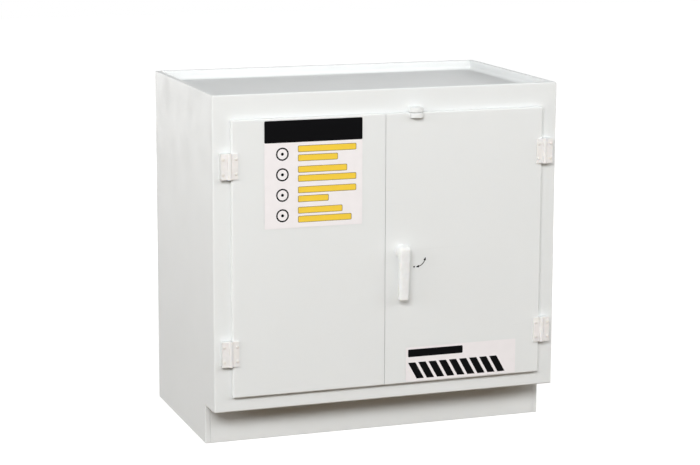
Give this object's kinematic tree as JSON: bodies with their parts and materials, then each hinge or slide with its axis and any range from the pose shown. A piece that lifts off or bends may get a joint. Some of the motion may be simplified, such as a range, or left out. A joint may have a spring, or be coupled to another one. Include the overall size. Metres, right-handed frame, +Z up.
{
  "type": "plastic safety cabinet",
  "caption": "White plastic floor cabinet with two hinged doors, a turning lever latch, stacked padlock ears, an inner shelf, a sealed sump, a recessed top and a toe kick.",
  "frame": {"origin": "on the floor, under the middle of the whole part", "axes": "+X to the right seen from the front, +Y to the back, +Z up; the doors face -Y"},
  "size_m": [0.9144, 0.6048, 0.8953],
  "materials": {
    "white_polyethylene": "satin sheet",
    "natural_moulding": "moulded",
    "white_moulding": "moulded",
    "screw_nylon": "moulded"
  },
  "bodies": {
    "cabinet": {"side_panel_left": "white_polyethylene", "side_panel_right": "white_polyethylene", "back_panel": "white_polyethylene", "kick_board": "white_polyethylene", "floor_panel": "white_polyethylene", "top_panel": "white_polyethylene", "recess_weld": "white_polyethylene", "sump_weld": "white_polyethylene", "face_frame": "white_polyethylene", "shelf": "white_polyethylene", "shelf_lip": "white_polyethylene", "shelf_cleat_left": "white_polyethylene", "shelf_cleat_right": "white_polyethylene", "shelf_cleat_back": "white_polyethylene", "frame_padlock_ear": "white_polyethylene", "left_lower_hinge_spacer": "white_polyethylene", "left_lower_frame_leaf": "natural_moulding", "left_lower_hinge_pin": "natural_moulding", "left_lower_frame_screw_low": "screw_nylon", "left_lower_frame_screw_high": "screw_nylon", "left_upper_hinge_spacer": "white_polyethylene", "left_upper_frame_leaf": "natural_moulding", "left_upper_hinge_pin": "natural_moulding", "left_upper_frame_screw_low": "screw_nylon", "left_upper_frame_screw_high": "screw_nylon", "right_lower_hinge_spacer": "white_polyethylene", "right_lower_frame_leaf": "natural_moulding", "right_lower_hinge_pin": "natural_moulding", "right_lower_frame_screw_low": "screw_nylon", "right_lower_frame_screw_high": "screw_nylon", "right_upper_hinge_spacer": "white_polyethylene", "right_upper_frame_leaf": "natural_moulding", "right_upper_hinge_pin": "natural_moulding", "right_upper_frame_screw_low": "screw_nylon", "right_upper_frame_screw_high": "screw_nylon"},
    "left_door_assembly": {"left_door": "white_polyethylene", "left_lower_door_leaf": "natural_moulding", "left_lower_door_screw_low": "screw_nylon", "left_lower_door_screw_high": "screw_nylon", "left_upper_door_leaf": "natural_moulding", "left_upper_door_screw_low": "screw_nylon", "left_upper_door_screw_high": "screw_nylon", "bolt_base": "white_polyethylene", "bolt_lower_bridge": "white_polyethylene", "bolt_upper_bridge": "white_polyethylene"},
    "right_door_assembly": {"right_door": "white_polyethylene", "right_lower_door_leaf": "natural_moulding", "right_lower_door_screw_low": "screw_nylon", "right_lower_door_screw_high": "screw_nylon", "right_upper_door_leaf": "natural_moulding", "right_upper_door_screw_low": "screw_nylon", "right_upper_door_screw_high": "screw_nylon", "latch_bush": "white_moulding", "door_padlock_ear": "white_polyethylene"},
    "lever_latch": {"lever": "white_moulding", "latch_shaft": "white_moulding", "latch_tongue": "white_moulding", "latch_nut": "white_moulding"},
    "door_bolt": {"slide_bolt": "white_polyethylene", "bolt_knob": "white_moulding"}
  },
  "joints": [
    {"name": "left_door_swing", "type": "hinge", "parent": "cabinet", "child": "left_door_assembly", "pos_m": [-0.4187, -0.27545, 0.48523], "axis": [0, 0, -1], "range_deg": [0, 150]},
    {"name": "right_door_swing", "type": "hinge", "parent": "cabinet", "child": "right_door_assembly", "pos_m": [0.4187, -0.27545, 0.48523], "axis": [0, 0, 1], "range_deg": [0, 150]},
    {"name": "lever_turn", "type": "hinge", "parent": "right_door_assembly", "child": "lever_latch", "pos_m": [0.03005, -0.27035, 0.48523], "axis": [0, -1, 0], "range_deg": [0, 90]},
    {"name": "bolt_lift", "type": "slide", "parent": "left_door_assembly", "child": "door_bolt", "axis": [0, 0, 1], "range_m": [0, 0.025]}
  ]
}
